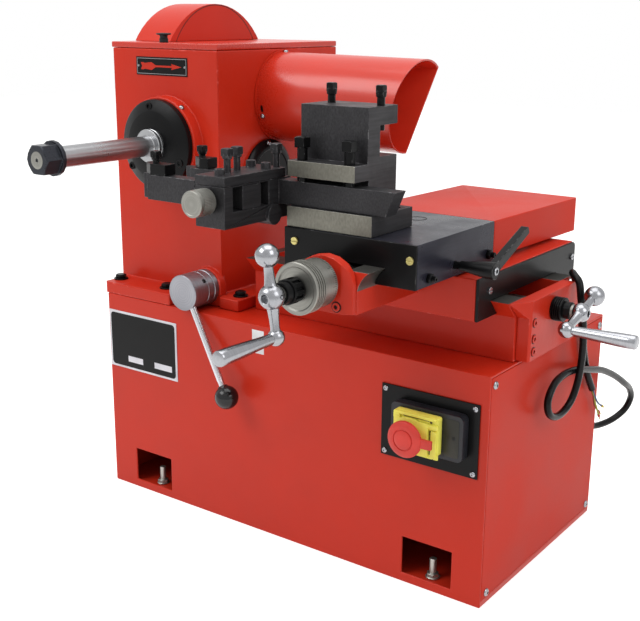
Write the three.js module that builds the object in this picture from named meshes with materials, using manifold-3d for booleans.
// Bench brake lathe for brake drums and brake discs, on its sheet metal cabinet.
// Lengths are millimetres and angles are degrees. +Z is up and the spindle points along -Y.
// The bed runs along X. Heights are measured from the foot of the cabinet.
import * as THREE from 'three';
import { mergeVertices } from 'three/addons/utils/BufferGeometryUtils.js';
import Module from 'manifold-3d';

const wasm = await Module();
wasm.setup();

// Clearances and cuts
const seat = 0.3; // gap between pieces that rest on each other
const running = 0.05; // radial gap of a shaft that turns in its bore
const sliding = 0.3; // gap around a dovetail
const overrun = 4; // how far a cut runs past the face that it opens

// Facets of round forms
const largeSides = 28;
const plainSides = 16;
const smallSides = 12;
const ballSides = 12;
const cornerSteps = 4;

// Cabinet of folded sheet, its plinth holes and its side panel
const cabinet = {
  left: -4.5,
  length: 566.5,
  depth: 300,
  height: 268,
  sheet: 3,
  floor: 8,
  lip: 14,
};
const window = {
  leftInset: 41.5,
  rightInset: 37,
  width: 64,
  sill: 11,
  height: 45,
};
const anchor = {
  fromFront: 17,
  studRadius: 4.2,
  studHeight: 32,
  nutWidth: 13,
  nutHeight: 4,
  washerRadius: 8.5,
  washerHeight: 1.6,
};

// Headstock casting
const headstock = {
  overhang: 15,
  width: 178.5,
  front: 42,
  backInset: 12,
  top: 322.5,
  wall: 10,
  bossLength: 8,
};
const foot = {
  leftInset: 10,
  length: 206.5,
  thickness: 15,
  shelf: 117.1,
  backInset: 2,
  notchWidth: 58.4,
  stepFront: 29,
  corner: 6,
};
const lid = { thickness: 7.2, leftLip: 2 };

// Spindle, its bearing cap and its nut
const spindle = {
  fromLeft: 93.5,
  aboveCabinet: 199,
  reach: 209.5,
  threadLength: 26.5,
  threadRadius: 8.5,
  noseRadius: 12.5,
  collarRadius: 20.5,
  collarLength: 9,
  journalRadius: 20,
  seatRadius: 18,
  tailRadius: 15,
  tailPast: 3,
  bossRadius: 59,
  bossLength: 15.3,
};
const bearingCap = {
  radius: 56,
  thickness: 12.7,
  rimWidth: 14,
  rimStep: 2.5,
};
const spindleNut = {
  width: 32.5,
  bevel: 3,
  flangeRadius: 20.5,
  flangeLength: 5,
};

// Worm drive and belt drive
const wormWheel = {
  radius: 40,
  width: 24,
  hubRadius: 28,
  hubLength: 34,
};
const worm = {
  depthShare: 0.5146,
  aboveSpindle: 63,
  shaftRadius: 10,
  wormRadius: 22,
  wormLength: 48,
  tailPast: 6,
};
const pulley = {
  fromLeft: 24.5,
  stepWidth: 13,
  largeRadius: 80,
  smallRadius: 52,
  motorLargeRadius: 62,
  motorSmallRadius: 35,
  grooveDepth: 9,
  grooveTop: 12,
  grooveFoot: 9.6,
};
const belt = { width: 8.6, height: 7, clearance: 1 };
const motor = {
  aboveFloor: 82,
  radius: 62,
  length: 180,
  fromPulley: 12,
  shaftRadius: 9.5,
  shaftInside: 30,
  footWidth: 150,
  footHeight: 14,
  boxSide: 70,
  boxHeight: 84,
  fins: 4,
  finDepth: 4,
  finWidth: 18,
};

// Belt guard, hood and side cap on the headstock
const guard = { radius: 108, width: 62.5, inset: 3, sheet: 2, lip: 2.5 };
const hood = {
  radius: 56.5,
  sheet: 2,
  dropBelowWorm: 7.5,
  topLength: 215,
  lowLength: 190,
  endDrop: 3,
  chordTop: 55,
};
const sideCap = {
  radius: 46.4,
  thickness: 8,
  fromFront: 93,
  belowSpindle: 43,
  spigotRadius: 36,
  spigotLength: 9,
  rimWidth: 7,
};

// Drive lever beside the headstock
const lever = {
  fromRight: 19,
  aboveCabinet: 24,
  hubRadius: 22.5,
  hubLength: 43.7,
  faceRecess: 1.2,
  rimWidth: 3.5,
  bossRadius: 24,
  shaftRadius: 8,
  shaftInside: 26,
  rodRadius: 4.2,
  rodFromFace: 8.8,
  rodInBall: 9,
  ballRadius: 14.6,
  ballRight: 83,
  ballOut: 23.8,
  ballDown: 114,
  holeRadius: 3,
  holeDepth: 6,
};

// Bed along X and its end bracket
const bed = {
  left: 203,
  length: 356,
  front: 56,
  width: 124,
  blockHeight: 50,
  wayHeight: 69,
  wayFront: 37.5,
  wayBack: 198.5,
  wayWidth: 34.5,
  channelDepth: 47,
  endWall: 14,
};
const bracket = {
  thickness: 15.7,
  lowerFront: 60,
  lowerBack: 186,
  chamferFront: 63,
  shoulderRadius: 17,
  lift: 2,
};
const bedScrew = {
  fromFront: 118,
  belowWay: 19,
  radius: 8,
  endRadius: 5,
  shoulder: 1,
};

// Saddle with its cross way, plate and front bracket
const saddle = {
  left: 330,
  length: 205.2,
  front: 8.4,
  back: 252,
  bottom: 52,
  top: 97.5,
  plate: 3.3,
  plateCorner: 7,
  nutLength: 32,
  nutWidth: 36,
  nutDrop: 36,
};
const crossWay = {
  centre: 434,
  neckHalf: 32.5,
  topHalf: 46,
  height: 20,
  reach: 115.4,
  beamHeight: 24.5,
  channelHalf: 20,
  channelDepth: 24,
  endWall: 12,
  flareBow: 4,
};
const frontBracket = {
  thickness: 11.7,
  halfWidth: 32,
  faceHalf: 21,
  below: 31.5,
  above: 25.5,
};
const crossScrew = {
  belowWay: 11,
  radius: 8,
  shoulder: 0.5,
};

// Top slide, its cover and its clamp lever
const slide = {
  leftOfCentre: 80,
  width: 161,
  front: 75,
  back: 84,
  under: 2,
  height: 45,
  plate: 2.7,
  nutLength: 30,
  nutWidth: 24,
  nutDrop: 22,
};
const cover = {
  length: 221,
  wall: 3,
  height: 41,
  endDrop: 3.5,
  corner: 5,
};
const clampLever = {
  fromFront: 75,
  aboveUnder: 12,
  studRadius: 4,
  studLength: 12,
  studInside: 14,
  hubStart: 6,
  hubRadius: 9,
  hubSmall: 5.5,
  hubLength: 34,
  armLength: 80,
  armWide: 12,
  armNarrow: 8,
  armThickness: 9,
  armTilt: 22.7,
};

// Tool post
const postBase = {
  width: 106,
  depth: 77,
  height: 21.2,
  inset: 1,
  holeRadius: 7,
  holeDepth: 12,
  holeFromRight: 13,
  holeFromBack: 16,
};
const post = {
  width: 84,
  inset: 1,
  depth: 77,
  slotDepth: 25,
  slotHeight: 30.7,
  ledge: 16.7,
  notchFloor: 52.7,
  notchHeight: 31.5,
  notchDepth: 32,
  upright: 22,
  cap: 19,
};
const clampScrew = {
  headWidth: 12,
  headHeight: 11,
  radius: 5.5,
  stand: 24,
  edge: 12.5,
  fromFront: 9,
  bevelShare: 0.2,
};
const capScrew = {
  headWidth: 8.4,
  headHeight: 9,
  radius: 4.2,
  collarRadius: 5.4,
  collarHeight: 3,
  stand: 20.5,
  leftEdge: 16,
  rightEdge: 6.5,
  fromBack: 22,
  past: 6,
};

// Disc tool holder
const holder = {
  left: 302,
  width: 39,
  front: 157,
  back: 50.6,
  under: 15.5,
  aboveBase: 26.8,
  windowFront: 144,
  windowBack: 87,
  windowLow: 0.5,
  windowHigh: 25.4,
  lugRadius: 11,
  lugLength: 16,
  lugFromBack: 31,
};
const shank = {
  front: 70.6,
  length: 144,
  lowShort: 11,
  height: 25.4,
};
const topPlate = {
  thickness: 9.7,
  backInset: 8,
  headRadius: 5.4,
  headHeight: 7,
  socketRadius: 2.6,
  socketDepth: 3.5,
};
const tallScrew = {
  headWidth: 9.4,
  headHeight: 8,
  radius: 3.7,
  collarRadius: 5.2,
  collarHeight: 2.6,
  stand: 25,
};
const armScrew = {
  headWidth: 8.6,
  headHeight: 7,
  radius: 3.7,
  collarRadius: 4.9,
  collarHeight: 2.4,
  stand: 12.5,
};
const arm = {
  length: 80,
  width: 16,
  low: 4.7,
  height: 26,
  step: 13,
  stepDepth: 8,
  clampLength: 34,
  rearClampLength: 25,
  clampInset: 5,
  rearClampInset: 14,
  clampHeight: 11.4,
  boltShare: 0.42,
};
const toolSlider = {
  blockFront: 129,
  blockBack: 100,
  shoe: 11,
  armBack: 76,
  travel: 8,
};
const knob = {
  radius: 13.7,
  length: 26.5,
  collar: 4,
  collarRadius: 9,
  ribs: 18,
  ribDepth: 1.1,
  screwRadius: 5,
  screwInside: 42,
  fromLeft: 19,
  aboveWindow: 11.5,
};

// Dials and cranks
const sideDial = {
  radius: 13.4,
  length: 12.4,
  grooves: 3,
  grooveDepth: 1.4,
  grooveWidth: 1.6,
  collarRadius: 9.5,
  collarLength: 8,
};
const sideCrank = {
  hubRadius: 10.5,
  fromDial: 18,
  armLength: 38,
  armRadius: 4.6,
  armTip: 3.8,
  weightRadius: 11.3,
  gripBallRadius: 8.8,
  tilt: 16.4,
  gripLength: 67.5,
  boreDepth: 5,
  neckRadius: 6.5,
  neckLength: 9,
};
const frontDial = {
  radius: 26,
  length: 36.2,
  ridgedLength: 15,
  ridges: 4,
  grooveDepth: 1.2,
  grooveWidth: 1.5,
  ringStep: 1.6,
  bossRadius: 15,
  bossLength: 7.6,
};
const jaw = {
  radius: 12.5,
  length: 24,
  teeth: 4,
  toothDepth: 5,
  toothGap: 6,
};
const frontCrank = {
  hubRadius: 12.5,
  fromJaw: 12,
  armLength: 38.6,
  armRadius: 5,
  armTip: 4.2,
  weightRadius: 11.5,
  gripBallRadius: 8.4,
  tilt: 97.5,
  gripLength: 73,
  boreDepth: 6,
  neckRadius: 8,
  neckLength: 11,
};
const grip = {
  neckRadius: 4.6,
  wideRadius: 7.6,
  endRadius: 6.4,
  swellShare: 0.7,
  pinRadius: 2.5,
  pinInside: 40,
};

// Switch on the cabinet's front
const switchPlate = {
  left: 431,
  low: 151,
  width: 121.5,
  height: 84,
  thickness: 1.7,
};
const switchBox = {
  left: 20.5,
  low: 19.5,
  width: 89,
  height: 52,
  depth: 12.7,
  corner: 8,
};
const flap = {
  left: 6.5,
  low: 0,
  width: 58,
  height: 51.5,
  depth: 12.4,
  corner: 11,
  hubRadius: 12,
  hubHeight: 3,
  rise: 4.6,
};
const stopButton = {
  left: 25.6,
  low: 21.9,
  radius: 20.5,
  stemRadius: 9,
  stemLength: 9.2,
  headLength: 6,
  domeHeight: 2,
  tabReach: 32.5,
  tabHalf: 5.2,
  tabThickness: 4,
};

// Power cord, its gland and its bare ends
const cord = { radius: 4.25, sides: 8, steps: 66 };
const gland = {
  fromRight: 22,
  height: 104,
  nutRadius: 10,
  nutLength: 9,
  domeRadius: 7.5,
  domeLength: 8.7,
};
const bareEnd = { radius: 2.2, sides: 8, steps: 8 };
const cordPoints = [
  [540, 318, 104],
  [541, 330, 102],
  [546, 354, 99],
  [556, 379, 102],
  [566, 396, 114],
  [572, 398, 132],
  [575, 381, 150],
  [578, 352, 166],
  [577, 316, 186],
  [576, 275, 204],
  [576, 234, 216],
  [576, 192, 227],
  [576, 160, 231],
  [576, 134, 228],
  [576.5, 118, 218],
  [577, 113, 207],
  [577.5, 119, 194],
  [578, 137, 186],
  [578.5, 158, 187],
  [580, 173, 196],
  [582, 181, 212],
  [584, 183, 232],
  [586.5, 180, 258],
  [588, 173, 284],
  [588, 167, 304],
  [585.5, 165.5, 322],
  [581.4, 168, 337.5],
  [573, 173.5, 343.5],
  [566.4, 183, 344],
  [565, 194, 335],
  [565.8, 203, 318],
  [567.2, 211, 296],
  [568, 220, 268],
  [568, 232, 234],
  [568.2, 246, 206],
  [569.6, 262, 182],
];
const bareEndOffsets = [[0.3, 8, -12], [0.8, 18, -26], [1.4, 31, -36]];

// Surfaces
function surface(color, roughness, metalness) {
  return new THREE.MeshStandardMaterial({ color, roughness, metalness });
}
const redPaint = surface(0xc23420, 0.35, 0);
const blackPaint = surface(0x1d1d1f, 0.45, 0.1);
const blackOxide = surface(0x26262a, 0.4, 0.6);
const castIron = surface(0x6f6c62, 0.45, 0.7);
const groundSteel = surface(0x9b9a94, 0.3, 0.9);
const chrome = surface(0xd6d8da, 0.12, 1);
const rubber = surface(0x141416, 0.6, 0);
const blackPlastic = surface(0x19191b, 0.4, 0);
const yellowPlastic = surface(0xd9d43a, 0.4, 0);
const redPlastic = surface(0xc2402c, 0.35, 0);
const copperEnds = surface(0xb05a2a, 0.4, 0.2);

const machine = new THREE.Group();
const cordNames = [];

function add(name, solid, material) {
  const mesh = new THREE.Mesh(toGeometry(solid), material);
  mesh.name = name;
  machine.add(mesh);
  return mesh;
}

// Conversions between meshes and solids
function toSolid(geometry) {
  const bare = geometry.clone();
  bare.deleteAttribute('normal');
  bare.deleteAttribute('uv');
  const merged = mergeVertices(bare);
  const points = merged.attributes.position;
  const corners = [];
  const [a, b, c] = [new THREE.Vector3(), new THREE.Vector3(), new THREE.Vector3()];
  let volume = 0;
  for (let i = 0; i < merged.index.count; i += 3) {
    const [ia, ib, ic] = [0, 1, 2].map((k) => merged.index.getX(i + k));
    if (ia !== ib && ib !== ic && ia !== ic) {
      corners.push(ia, ib, ic);
      a.fromBufferAttribute(points, ia);
      b.fromBufferAttribute(points, ib);
      c.fromBufferAttribute(points, ic);
      volume += a.dot(b.cross(c));
    }
  }
  if (volume < 0) {
    corners.reverse();
  }
  return new wasm.Manifold(
    new wasm.Mesh({
      numProp: 3,
      vertProperties: new Float32Array(points.array),
      triVerts: new Uint32Array(corners),
    }),
  );
}

function toGeometry(solid) {
  const mesh = solid.getMesh();
  const geometry = new THREE.BufferGeometry();
  geometry.setAttribute('position', new THREE.BufferAttribute(new Float32Array(mesh.vertProperties), 3));
  geometry.setIndex(new THREE.BufferAttribute(new Uint32Array(mesh.triVerts), 1));
  geometry.computeVertexNormals();
  return geometry;
}

function join(first, ...others) {
  return others.reduce((whole, other) => whole.add(other), first);
}

function cut(first, ...tools) {
  return tools.reduce((whole, tool) => whole.subtract(tool), first);
}

// Basic solids, each placed where it belongs
function block([x0, x1], [y0, y1], [z0, z1]) {
  const geometry = new THREE.BoxGeometry(x1 - x0, y1 - y0, z1 - z0);
  geometry.translate((x0 + x1) / 2, (y0 + y1) / 2, (z0 + z1) / 2);
  return toSolid(geometry);
}

// A closed outline whose corners are [u, v] or [u, v, radius]
function outline(corners) {
  const shape = new THREE.Shape();
  corners.forEach((corner, index) => {
    const here = new THREE.Vector2(corner[0], corner[1]);
    const radius = corner[2] || 0;
    const before = corners[(index + corners.length - 1) % corners.length];
    const after = corners[(index + 1) % corners.length];
    const toBefore = new THREE.Vector2(before[0], before[1]).sub(here).normalize();
    const toAfter = new THREE.Vector2(after[0], after[1]).sub(here).normalize();
    const start = here.clone().addScaledVector(toBefore, radius);
    const end = here.clone().addScaledVector(toAfter, radius);
    if (index === 0) {
      shape.moveTo(start.x, start.y);
    } else {
      shape.lineTo(start.x, start.y);
    }
    if (radius > 0) {
      shape.quadraticCurveTo(here.x, here.y, end.x, end.y);
    }
  });
  shape.closePath();
  return shape;
}

function rectangle([u0, u1], [v0, v1], radius = 0) {
  return outline([[u0, v0, radius], [u1, v0, radius], [u1, v1, radius], [u0, v1, radius]]);
}

function circle(u, v, radius, sides) {
  const points = [];
  for (let i = 0; i < sides; i += 1) {
    const angle = (2 * Math.PI * i) / sides;
    points.push([u + radius * Math.cos(angle), v + radius * Math.sin(angle)]);
  }
  return outline(points);
}

function extrude(shape, depth) {
  return new THREE.ExtrudeGeometry(shape, { depth, bevelEnabled: false, curveSegments: cornerSteps });
}

// Prisms: the outline lies in YZ, in XZ or in XY
function prismX(shape, [x0, x1]) {
  const geometry = extrude(shape, x1 - x0);
  const [x, y, z] = [new THREE.Vector3(1, 0, 0), new THREE.Vector3(0, 1, 0), new THREE.Vector3(0, 0, 1)];
  geometry.applyMatrix4(new THREE.Matrix4().makeBasis(y, z, x));
  geometry.translate(x0, 0, 0);
  return toSolid(geometry);
}

function prismY(shape, [y0, y1]) {
  const geometry = extrude(shape, y1 - y0);
  geometry.rotateX(Math.PI / 2);
  geometry.translate(0, y1, 0);
  return toSolid(geometry);
}

function prismZ(shape, [z0, z1]) {
  const geometry = extrude(shape, z1 - z0);
  geometry.translate(0, 0, z0);
  return toSolid(geometry);
}

// Turned pieces: profile points are [radius, place along the axis]
function turned(profile, sides) {
  return new THREE.LatheGeometry(profile.map(([r, t]) => new THREE.Vector2(r, t)), sides);
}

function turnedX(profile, y, z, sides = plainSides) {
  const geometry = turned(profile, sides);
  geometry.rotateZ(-Math.PI / 2);
  geometry.translate(0, y, z);
  return toSolid(geometry);
}

function turnedY(profile, x, z, sides = plainSides) {
  const geometry = turned(profile, sides);
  geometry.translate(x, 0, z);
  return toSolid(geometry);
}

function turnedZ(profile, x, y, sides = plainSides) {
  const geometry = turned(profile, sides);
  geometry.rotateX(Math.PI / 2);
  geometry.translate(x, y, 0);
  return toSolid(geometry);
}

function rod(radius, [t0, t1]) {
  return [[0, t0], [radius, t0], [radius, t1], [0, t1]];
}

function pipe(inner, outer, [t0, t1]) {
  return [[inner, t0], [outer, t0], [outer, t1], [inner, t1], [inner, t0]];
}

// The bore of a shaft: its flats stay a given gap away from the round shaft
function bore(radius, gap, span, sides = plainSides) {
  return rod((radius + gap) / Math.cos(Math.PI / sides), span);
}

function ball(radius, centre, sides = ballSides) {
  const geometry = new THREE.SphereGeometry(radius, sides, sides / 2);
  geometry.translate(...centre.toArray());
  return toSolid(geometry);
}

// A round bar between two points
function bar(from, to, startRadius, endRadius, sides = smallSides) {
  const along = to.clone().sub(from);
  const geometry = new THREE.CylinderGeometry(endRadius, startRadius, along.length(), sides);
  const up = new THREE.Vector3(0, 1, 0);
  geometry.applyQuaternion(new THREE.Quaternion().setFromUnitVectors(up, along.clone().normalize()));
  geometry.translate(...from.clone().add(to).divideScalar(2).toArray());
  return toSolid(geometry);
}

// Lets a piece sink by a slope along one axis, from a given place on
function lean(axis, from, slope) {
  const matrix = new THREE.Matrix4();
  const column = axis === 'x' ? 0 : 1;
  matrix.elements[4 * column + 2] = -slope;
  matrix.elements[14] = slope * from;
  return matrix.elements;
}

function hexagon(u, v, acrossFlats) {
  return circle(u, v, acrossFlats / 2 / Math.cos(Math.PI / 6), 6);
}

// Levels and places that several pieces share
const cabinetTop = cabinet.height;
const cabinetRight = cabinet.left + cabinet.length;
const footTop = cabinetTop + foot.thickness;
const columnLeft = cabinet.left - headstock.overhang;
const footLeft = columnLeft + foot.leftInset;
const footBack = cabinet.depth - foot.backInset;
const columnRight = columnLeft + headstock.width;
const columnBack = cabinet.depth - headstock.backInset;
const columnTop = cabinetTop + headstock.top;
const lidFoot = columnTop - lid.thickness;
const bossFront = headstock.front - headstock.bossLength;
const spindleBossFront = headstock.front - spindle.bossLength;
const spindleX = columnLeft + spindle.fromLeft;
const spindleZ = cabinetTop + spindle.aboveCabinet;
const wormY = headstock.front + worm.depthShare * (columnBack - headstock.front);
const wormZ = spindleZ + worm.aboveSpindle;
const pulleyLeft = columnLeft + pulley.fromLeft;
const motorZ = cabinet.floor + motor.aboveFloor;

// Cabinet
const panelSpan = [cabinetRight - cabinet.sheet, cabinetRight];
const innerY = [cabinet.sheet, cabinet.depth - cabinet.sheet];
const innerZ = [cabinet.floor, cabinetTop - cabinet.sheet];
const windowX = [
  [cabinet.left + window.leftInset, cabinet.left + window.leftInset + window.width],
  [cabinetRight - window.rightInset - window.width, cabinetRight - window.rightInset],
];
const anchorPlaces = windowX.flatMap(([x0, x1]) =>
  [anchor.fromFront, cabinet.depth - anchor.fromFront].map((y) => [(x0 + x1) / 2, y]),
);

function makeCabinet() {
  const lipLeft = panelSpan[0] - seat - cabinet.sheet;
  const shell = block([cabinet.left, cabinetRight], [0, cabinet.depth], [0, cabinetTop]);
  const room = block([cabinet.left + cabinet.sheet, lipLeft], innerY, innerZ);
  const mouth = block(
    [lipLeft - overrun, cabinetRight + overrun],
    [innerY[0] + cabinet.lip, innerY[1] - cabinet.lip],
    [innerZ[0] + cabinet.lip, innerZ[1] - cabinet.lip],
  );
  const rebate = block([panelSpan[0] - seat, cabinetRight + overrun], innerY, innerZ);
  const beltSlot = block(
    [cabinet.left + cabinet.sheet, pulleyLeft + 2 * pulley.stepWidth + overrun],
    [wormY - pulley.largeRadius, wormY + pulley.largeRadius],
    [innerZ[1] - overrun, cabinetTop + overrun],
  );
  let solid = cut(shell, room, mouth, rebate, beltSlot);
  const windowZ = [window.sill, window.sill + window.height];
  windowX.forEach((span) => {
    solid = cut(
      solid,
      block(span, [-overrun, innerY[0] + overrun], windowZ),
      block(span, [innerY[1] - overrun, cabinet.depth + overrun], windowZ),
    );
  });
  anchorPlaces.forEach(([x, y]) => {
    solid = cut(solid, turnedZ(bore(anchor.studRadius, seat, [-overrun, cabinet.floor + overrun]), x, y));
  });
  add('cabinet', solid, redPaint);
  add(
    'side_panel',
    block(panelSpan, [innerY[0] + seat, innerY[1] - seat], [innerZ[0] + seat, innerZ[1] - seat]),
    redPaint,
  );
}

function makeAnchors() {
  anchorPlaces.forEach(([x, y], index) => {
    const washerFoot = cabinet.floor + seat;
    const nutFoot = washerFoot + anchor.washerHeight;
    const solid = join(
      turnedZ(rod(anchor.studRadius, [0, anchor.studHeight]), x, y, smallSides),
      turnedZ(rod(anchor.washerRadius, [washerFoot, nutFoot]), x, y, smallSides),
      prismZ(hexagon(x, y, anchor.nutWidth), [nutFoot, nutFoot + anchor.nutHeight]),
    );
    add(`anchor_${index + 1}`, solid, groundSteel);
  });
}

// Headstock: foot, hollow column and bosses in one casting
const leverX = columnRight - lever.fromRight;
const leverZ = cabinetTop + lever.aboveCabinet;

function makeHeadstock() {
  const footFoot = cabinetTop + seat;
  const notchLeft = footLeft + foot.shelf;
  const footPlan = outline([
    [footLeft, 0, foot.corner],
    [notchLeft, 0],
    [notchLeft, bossFront],
    [notchLeft + foot.notchWidth, bossFront],
    [notchLeft + foot.notchWidth, foot.stepFront],
    [footLeft + foot.length, foot.stepFront],
    [footLeft + foot.length, footBack],
    [footLeft, footBack, foot.corner],
  ]);
  const columnY = [headstock.front, columnBack];
  const innerX = [columnLeft + headstock.wall, columnRight - headstock.wall];
  const innerColumnY = [columnY[0] + headstock.wall, columnY[1] - headstock.wall];
  const bossSpan = [bossFront, headstock.front + overrun];
  const frontWallEnd = innerColumnY[0] + overrun;
  const casting = join(
    prismZ(footPlan, [footFoot, footTop]),
    block([columnLeft, columnRight], columnY, [footFoot, lidFoot - seat]),
    turnedY(rod(spindle.bossRadius, [spindleBossFront, bossSpan[1]]), spindleX, spindleZ, largeSides),
    prismY(leverBoss(), bossSpan),
  );
  const capX = columnRight;
  const capY = headstock.front + sideCap.fromFront;
  const solid = cut(
    casting,
    block(innerX, innerColumnY, [footFoot - overrun, columnTop]),
    turnedY(
      bore(spindle.journalRadius, running, [spindleBossFront - overrun, frontWallEnd], largeSides),
      spindleX,
      spindleZ,
      largeSides,
    ),
    turnedY(
      bore(spindle.tailRadius, running, [innerColumnY[1] - overrun, columnBack + overrun], largeSides),
      spindleX,
      spindleZ,
      largeSides,
    ),
    turnedX(bore(worm.shaftRadius, running, [columnLeft - overrun, innerX[0] + overrun]), wormY, wormZ),
    turnedX(bore(worm.shaftRadius, running, [innerX[1] - overrun, columnRight + overrun]), wormY, wormZ),
    turnedX(
      bore(sideCap.spigotRadius, seat, [innerX[1] - overrun, capX + overrun], largeSides),
      capY,
      spindleZ - sideCap.belowSpindle,
      largeSides,
    ),
    turnedY(bore(lever.shaftRadius, running, [bossFront - overrun, frontWallEnd]), leverX, leverZ),
  );
  add('headstock', solid, redPaint);
}

// The lever's boss is round and runs down to the foot
function leverBoss() {
  const points = [];
  for (let i = 0; i <= largeSides / 2; i += 1) {
    const angle = (Math.PI * i) / (largeSides / 2);
    points.push([leverX + lever.bossRadius * Math.cos(angle), leverZ + lever.bossRadius * Math.sin(angle)]);
  }
  const low = cabinetTop + seat;
  return outline([...points, [leverX - lever.bossRadius, low], [leverX + lever.bossRadius, low]]);
}

const guardX = [columnLeft + guard.inset, columnLeft + guard.inset + guard.width];

function makeLid() {
  const lidSpan = [lidFoot, columnTop];
  const halfSlot = Math.sqrt(guard.radius ** 2 - (columnTop - wormZ) ** 2) - guard.sheet - guard.lip;
  const slot = block(
    [guardX[0] + guard.sheet + guard.lip, guardX[1] - guard.sheet - guard.lip],
    [wormY - halfSlot, wormY + halfSlot],
    [lidFoot - overrun, columnTop + overrun],
  );
  const plate = block([columnLeft - lid.leftLip, columnRight], [headstock.front, columnBack], lidSpan);
  add('headstock_lid', cut(plate, slot), redPaint);
}

function makeGuard() {
  const base = columnTop + seat;
  const innerSpan = [guardX[0] + guard.sheet, guardX[1] - guard.sheet];
  const room = prismX(circle(wormY, wormZ, guard.radius - guard.sheet, largeSides * 2), innerSpan);
  const drum = prismX(circle(wormY, wormZ, guard.radius, largeSides * 2), guardX);
  const below = block(
    [guardX[0] - overrun, guardX[1] + overrun],
    [wormY - guard.radius - overrun, wormY + guard.radius + overrun],
    [wormZ - guard.radius - overrun, base],
  );
  add('belt_guard', cut(drum, room, below), redPaint);
}

// Hood: half round in front, a flat chord behind, and a slanting open end
function hoodOutline(radius, chordInset) {
  const [y, z] = [wormY, wormZ - hood.dropBelowWorm];
  const points = [];
  const first = THREE.MathUtils.degToRad(hood.chordTop);
  const last = THREE.MathUtils.degToRad(270);
  for (let i = 0; i <= largeSides; i += 1) {
    const angle = first + ((last - first) * i) / largeSides;
    points.push([y + radius * Math.cos(angle) - chordInset, z + radius * Math.sin(angle)]);
  }
  return outline(points);
}

function makeHood() {
  const start = columnRight + seat;
  const z = wormZ - hood.dropBelowWorm;
  const top = z + hood.radius;
  const bottom = z - hood.radius;
  const slant = (hood.topLength - hood.lowLength) / (2 * hood.radius);
  const endX = columnRight + hood.topLength + overrun;
  const tube = prismX(hoodOutline(hood.radius, 0), [start, endX]);
  const inside = hoodOutline(hood.radius - hood.sheet, hood.sheet / 2);
  const room = prismX(inside, [start - overrun, endX + overrun]);
  const endCut = prismY(
    outline([
      [columnRight + hood.lowLength - slant * overrun, bottom - overrun],
      [endX + 2 * overrun, bottom - overrun],
      [endX + 2 * overrun, top + overrun],
      [columnRight + hood.topLength + slant * overrun, top + overrun],
    ]),
    [wormY - hood.radius - overrun, wormY + hood.radius + overrun],
  );
  const slope = hood.endDrop / hood.topLength;
  add('hood', cut(tube, room, endCut).transform(lean('x', start, slope)), redPaint);
}

function makeSideCap() {
  const [y, z] = [headstock.front + sideCap.fromFront, spindleZ - sideCap.belowSpindle];
  const inner = columnRight - sideCap.spigotLength;
  const face = columnRight + seat;
  const outer = face + sideCap.thickness;
  const step = outer - sideCap.thickness / 2;
  const profile = [
    [0, inner],
    [sideCap.spigotRadius, inner],
    [sideCap.spigotRadius, face],
    [sideCap.radius, face],
    [sideCap.radius, step],
    [sideCap.radius - sideCap.rimWidth, outer],
    [0, outer],
  ];
  add('side_cap', turnedX(profile, y, z, largeSides), blackPaint);
}

// Spindle line
const capFront = spindleBossFront - seat - bearingCap.thickness;
const collarFront = capFront - spindle.collarLength - seat;
const spindleTip = headstock.front - spindle.reach;
const threadStart = spindleTip + spindle.threadLength;

function makeSpindle() {
  const wheelSpan = [wormY - wormWheel.hubLength / 2, wormY + wormWheel.hubLength / 2];
  const wheelHole = (spindle.seatRadius + seat) / Math.cos(Math.PI / plainSides);
  const inner = columnBack - headstock.wall;
  const bevel = spindle.threadRadius / 4;
  const profile = [
    [0, spindleTip],
    [spindle.threadRadius - bevel, spindleTip],
    [spindle.threadRadius, spindleTip + bevel],
    [spindle.threadRadius, threadStart],
    [spindle.noseRadius, threadStart],
    [spindle.noseRadius, collarFront],
    [spindle.collarRadius, collarFront],
    [spindle.collarRadius, capFront - seat],
    [spindle.journalRadius, capFront - seat],
    [spindle.journalRadius, headstock.front + 2 * headstock.wall],
    [spindle.seatRadius, headstock.front + 2 * headstock.wall],
    [spindle.seatRadius, inner - headstock.wall],
    [spindle.tailRadius, inner - headstock.wall],
    [spindle.tailRadius, columnBack + spindle.tailPast],
    [0, columnBack + spindle.tailPast],
  ];
  add('spindle', turnedY(profile, spindleX, spindleZ, largeSides), groundSteel);

  const wheelProfile = [
    [wheelHole, wheelSpan[0]],
    [wormWheel.hubRadius, wheelSpan[0]],
    [wormWheel.hubRadius, wormY - wormWheel.width / 2],
    [wormWheel.radius, wormY - wormWheel.width / 2],
    [wormWheel.radius, wormY + wormWheel.width / 2],
    [wormWheel.hubRadius, wormY + wormWheel.width / 2],
    [wormWheel.hubRadius, wheelSpan[1]],
    [wheelHole, wheelSpan[1]],
    [wheelHole, wheelSpan[0]],
  ];
  add('worm_wheel', turnedY(wheelProfile, spindleX, spindleZ), castIron);
}

function makeBearingCap() {
  const back = spindleBossFront - seat;
  const [rim, step] = [bearingCap.radius - bearingCap.rimWidth, bearingCap.rimStep];
  const hole = (spindle.journalRadius + running) / Math.cos(Math.PI / largeSides);
  const profile = [
    [hole, capFront],
    [rim, capFront],
    [rim + step, capFront + step],
    [bearingCap.radius - step, capFront + step],
    [bearingCap.radius, capFront + 2 * step],
    [bearingCap.radius, back],
    [hole, back],
    [hole, capFront],
  ];
  add('front_bearing_cap', turnedY(profile, spindleX, spindleZ, largeSides), blackOxide);
}

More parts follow.
